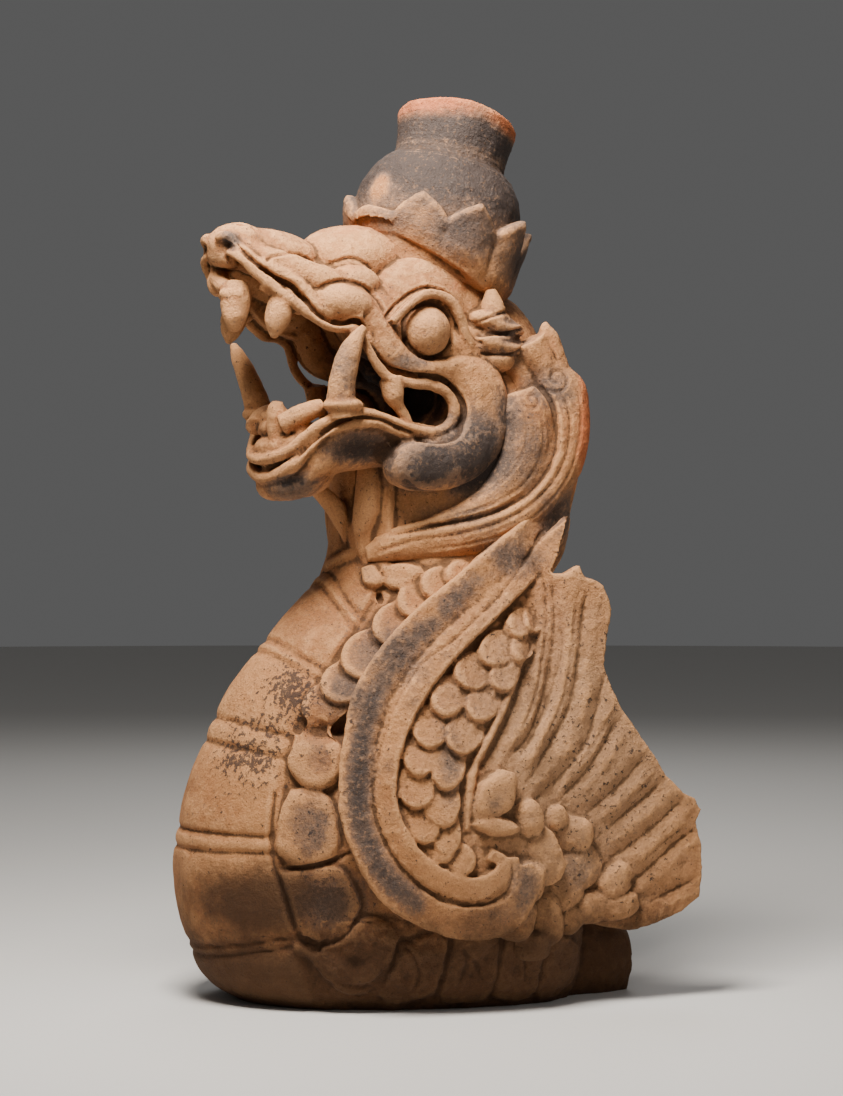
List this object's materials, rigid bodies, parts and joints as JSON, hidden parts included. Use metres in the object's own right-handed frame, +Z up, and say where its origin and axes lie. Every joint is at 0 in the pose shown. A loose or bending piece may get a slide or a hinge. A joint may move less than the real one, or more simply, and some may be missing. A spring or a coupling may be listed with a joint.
{
  "type": "naga roof ornament",
  "caption": "Fired-clay crowned serpent-dragon ornament, upright on a flat foot, with belly plates, broken wing fans, a swept mane and an open fanged mouth.",
  "frame": {"origin": "on the floor, in the flat underside, below the middle of the body", "axes": "+Z up, the animal faces -Y with its head turned 15 degrees to its own left, its left side is +X"},
  "size_m": [0.2168, 0.3149, 0.5499],
  "materials": {
    "terracotta": "matte"
  },
  "bodies": {
    "root": {"naga_ornament": "terracotta"}
  },
  "joints": []
}
